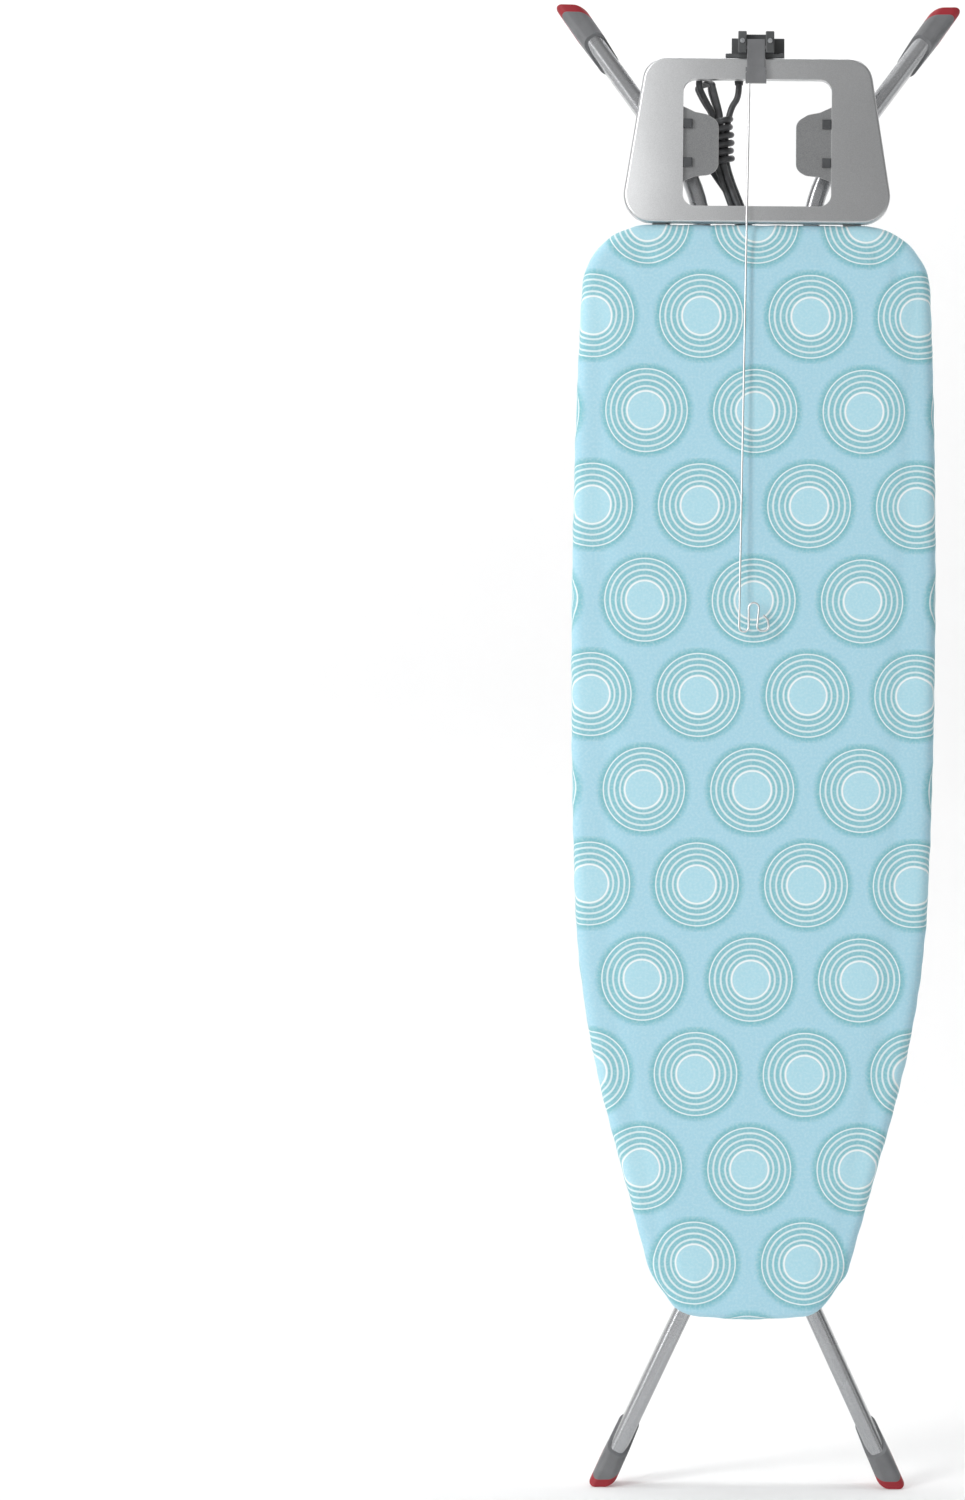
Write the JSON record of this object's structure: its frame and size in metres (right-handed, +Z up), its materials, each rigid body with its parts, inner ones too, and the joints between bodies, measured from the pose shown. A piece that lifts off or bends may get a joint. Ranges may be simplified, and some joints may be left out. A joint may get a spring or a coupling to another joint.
{
  "type": "ironing board",
  "caption": "Folding ironing board with a padded cover, a pressed-steel iron rest, a mains socket with a hanging lead, a swinging cable guide and crossed folding legs.",
  "frame": {"origin": "point where a wall hook carries the folded board: on the middle line, under the top bar of the iron rest, level with the front face of the steel deck", "axes": "+Z up along the folded board towards the iron rest, -Y out of the ironing surface, +X to the right when looking at the ironing surface"},
  "size_m": [0.446, 0.1112, 1.6383],
  "materials": {
    "cover_fabric": "printed cotton",
    "foam": "polyester felt and foam",
    "deck_steel": "powder coated",
    "zinc_steel": "zinc plated",
    "nylon": "moulded nylon",
    "rest_paint": "silver paint",
    "silicone": "moulded silicone",
    "grey_plastic": "moulded, fine texture",
    "brass": "bare",
    "cord_rubber": "flexible sheath",
    "nickel_pins": "nickel plated",
    "leg_paint": "metallic grey paint",
    "red_rubber": "moulded rubber",
    "spring_wire": "nickel plated wire"
  },
  "bodies": {
    "board": {"cover": "cover_fabric", "foam_pad": "foam", "mesh_deck": "deck_steel", "deck_rim": "deck_steel", "cross_members": "deck_steel", "hinge_bracket": "deck_steel", "hinge_pin": "zinc_steel", "hinge_washers": "nylon", "guide_channel": "zinc_steel", "lever_spring": "zinc_steel", "rest_frame": "rest_paint", "rest_wing_left": "rest_paint", "rest_wing_right": "rest_paint", "rest_pads": "silicone", "rest_arm_left": "rest_paint", "rest_arm_right": "rest_paint", "rest_studs": "zinc_steel", "rest_spacers": "zinc_steel", "rest_nuts": "zinc_steel", "socket_saddle": "grey_plastic", "socket_housing": "grey_plastic", "socket_back_cover": "grey_plastic", "socket_face": "grey_plastic", "socket_contacts": "brass", "socket_screws": "zinc_steel", "guide_bracket": "grey_plastic", "guide_pin": "zinc_steel", "guide_screws": "zinc_steel", "cord_gland": "cord_rubber", "cord_lead": "cord_rubber", "cord_hank": "cord_rubber", "cord_tail": "cord_rubber", "plug_body": "cord_rubber", "plug_pins": "nickel_pins"},
    "inner_legs": {"inner_leg_left": "leg_paint", "inner_leg_right": "leg_paint", "inner_brace": "leg_paint", "inner_lugs": "leg_paint", "inner_plugs": "grey_plastic", "inner_cap_left": "grey_plastic", "inner_cap_right": "grey_plastic", "inner_soles": "red_rubber", "pivot_rod": "zinc_steel", "pivot_spacers": "nylon", "pivot_nuts": "zinc_steel"},
    "outer_legs": {"outer_leg_left": "leg_paint", "outer_leg_right": "leg_paint", "outer_brace": "leg_paint", "outer_lugs": "leg_paint", "outer_plugs": "grey_plastic", "outer_cap_left": "grey_plastic", "outer_cap_right": "grey_plastic", "outer_soles": "red_rubber", "slide_rod": "zinc_steel", "slide_rollers": "nylon"},
    "height_lever": {"lever_shaft": "zinc_steel", "keeper_strip": "zinc_steel", "lever_grip": "grey_plastic"},
    "cable_guide": {"guide_arm": "grey_plastic", "guide_wire": "spring_wire"}
  },
  "joints": [
    {"name": "leg_fold", "type": "hinge", "parent": "board", "child": "inner_legs", "pos_m": [0, 0.018, -0.3826], "axis": [1, 0, 0], "range_deg": [0, 48]},
    {"name": "leg_cross", "type": "hinge", "parent": "inner_legs", "child": "outer_legs", "pos_m": [0, 0.044, -0.7326], "axis": [-1, 0, 0], "range_deg": [0, 96]},
    {"name": "lever_squeeze", "type": "hinge", "parent": "board", "child": "height_lever", "pos_m": [0.014, 0.0284, -0.9], "axis": [0, 0, -1], "range_deg": [0, 5], "stiffness_Nm_per_rad": 2, "springref_deg": -2.86},
    {"name": "guide_swing", "type": "hinge", "parent": "board", "child": "cable_guide", "pos_m": [-0.002, -0.0165, 0.034], "axis": [-1, 0, 0], "range_deg": [0, 95]}
  ],
  "couplings": [
    {"joint": "leg_cross", "follows": "leg_fold", "ratio": 2}
  ]
}
